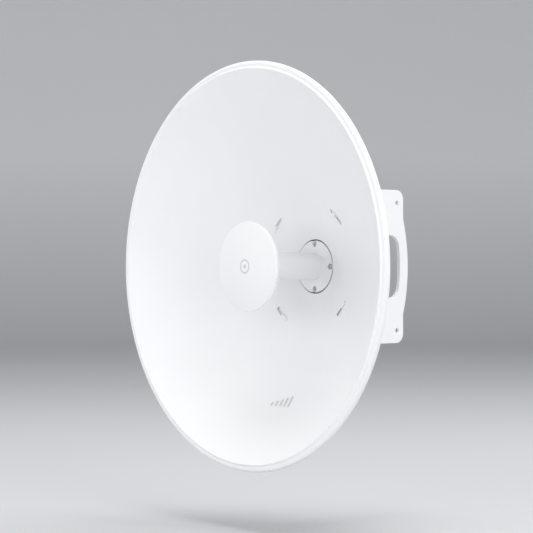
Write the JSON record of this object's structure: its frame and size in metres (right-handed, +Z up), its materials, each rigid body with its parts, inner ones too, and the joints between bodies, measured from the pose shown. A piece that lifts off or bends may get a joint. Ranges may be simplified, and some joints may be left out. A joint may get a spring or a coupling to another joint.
{
  "type": "parabolic dish antenna",
  "caption": "Solid parabolic dish with a rolled rim, a backfire feed with a round cap, a rear frame with hand-holds, an elevation yoke and a mast clamp.",
  "frame": {"origin": "on the mast axis, midway between the two clamp bands, at the height of the dish axis", "axes": "+Z up the mast; the dish looks along -Y; +X is to the right of a person who stands in front of the dish"},
  "size_m": [0.65, 0.2896, 0.65],
  "materials": {
    "white_coat": "white powder coat",
    "white_plastic": "satin moulded",
    "natural_plastic": "machined",
    "black_plastic": "moulded",
    "black_rubber": "matt",
    "stainless": "machined",
    "brass_plated": "gold plated",
    "bare_aluminium": "bare",
    "cast_alloy": "cast",
    "galvanised": "hot-dip galvanised"
  },
  "bodies": {
    "pole_bracket": {"pole_bracket": "galvanised", "upper_front_jaw": "cast_alloy", "lower_front_jaw": "cast_alloy", "clamp_bolts": "stainless", "pivot_bolts": "stainless", "pivot_washers": "stainless", "pivot_spacers": "black_plastic", "pivot_nuts": "stainless", "lock_bolts": "stainless", "lock_washers": "stainless", "lock_spacers": "black_plastic", "lock_nuts": "stainless"},
    "dish_head": {"reflector": "white_coat", "hub_gasket": "black_rubber", "feed_tube": "white_plastic", "feed_screws": "stainless", "feed_oring": "black_rubber", "waveguide": "bare_aluminium", "dielectric_plug": "natural_plastic", "sub_reflector": "bare_aluminium", "sub_reflector_cap": "white_plastic", "transducer_body": "bare_aluminium", "transducer_screws": "stainless", "probe_pins": "brass_plated", "rf_connectors": "brass_plated", "connector_nuts": "brass_plated", "mount_frame": "white_coat", "radio_cradle": "white_plastic", "cradle_screws": "stainless", "earth_screw": "stainless", "earth_washer": "stainless"},
    "upper_clamp": {"upper_rear_jaw": "cast_alloy", "upper_clamp_washers": "stainless", "upper_clamp_nuts": "stainless"},
    "lower_clamp": {"lower_rear_jaw": "cast_alloy", "lower_clamp_washers": "stainless", "lower_clamp_nuts": "stainless"}
  },
  "joints": [
    {"name": "elevation", "type": "hinge", "parent": "pole_bracket", "child": "dish_head", "pos_m": [0, -0.052, 0], "axis": [1, 0, 0], "range_deg": [-15, 15]},
    {"name": "upper_clamp_slide", "type": "slide", "parent": "pole_bracket", "child": "upper_clamp", "axis": [0, 1, 0], "range_m": [-0.0075, 0.006]},
    {"name": "lower_clamp_slide", "type": "slide", "parent": "pole_bracket", "child": "lower_clamp", "axis": [0, 1, 0], "range_m": [-0.0075, 0.006]}
  ]
}
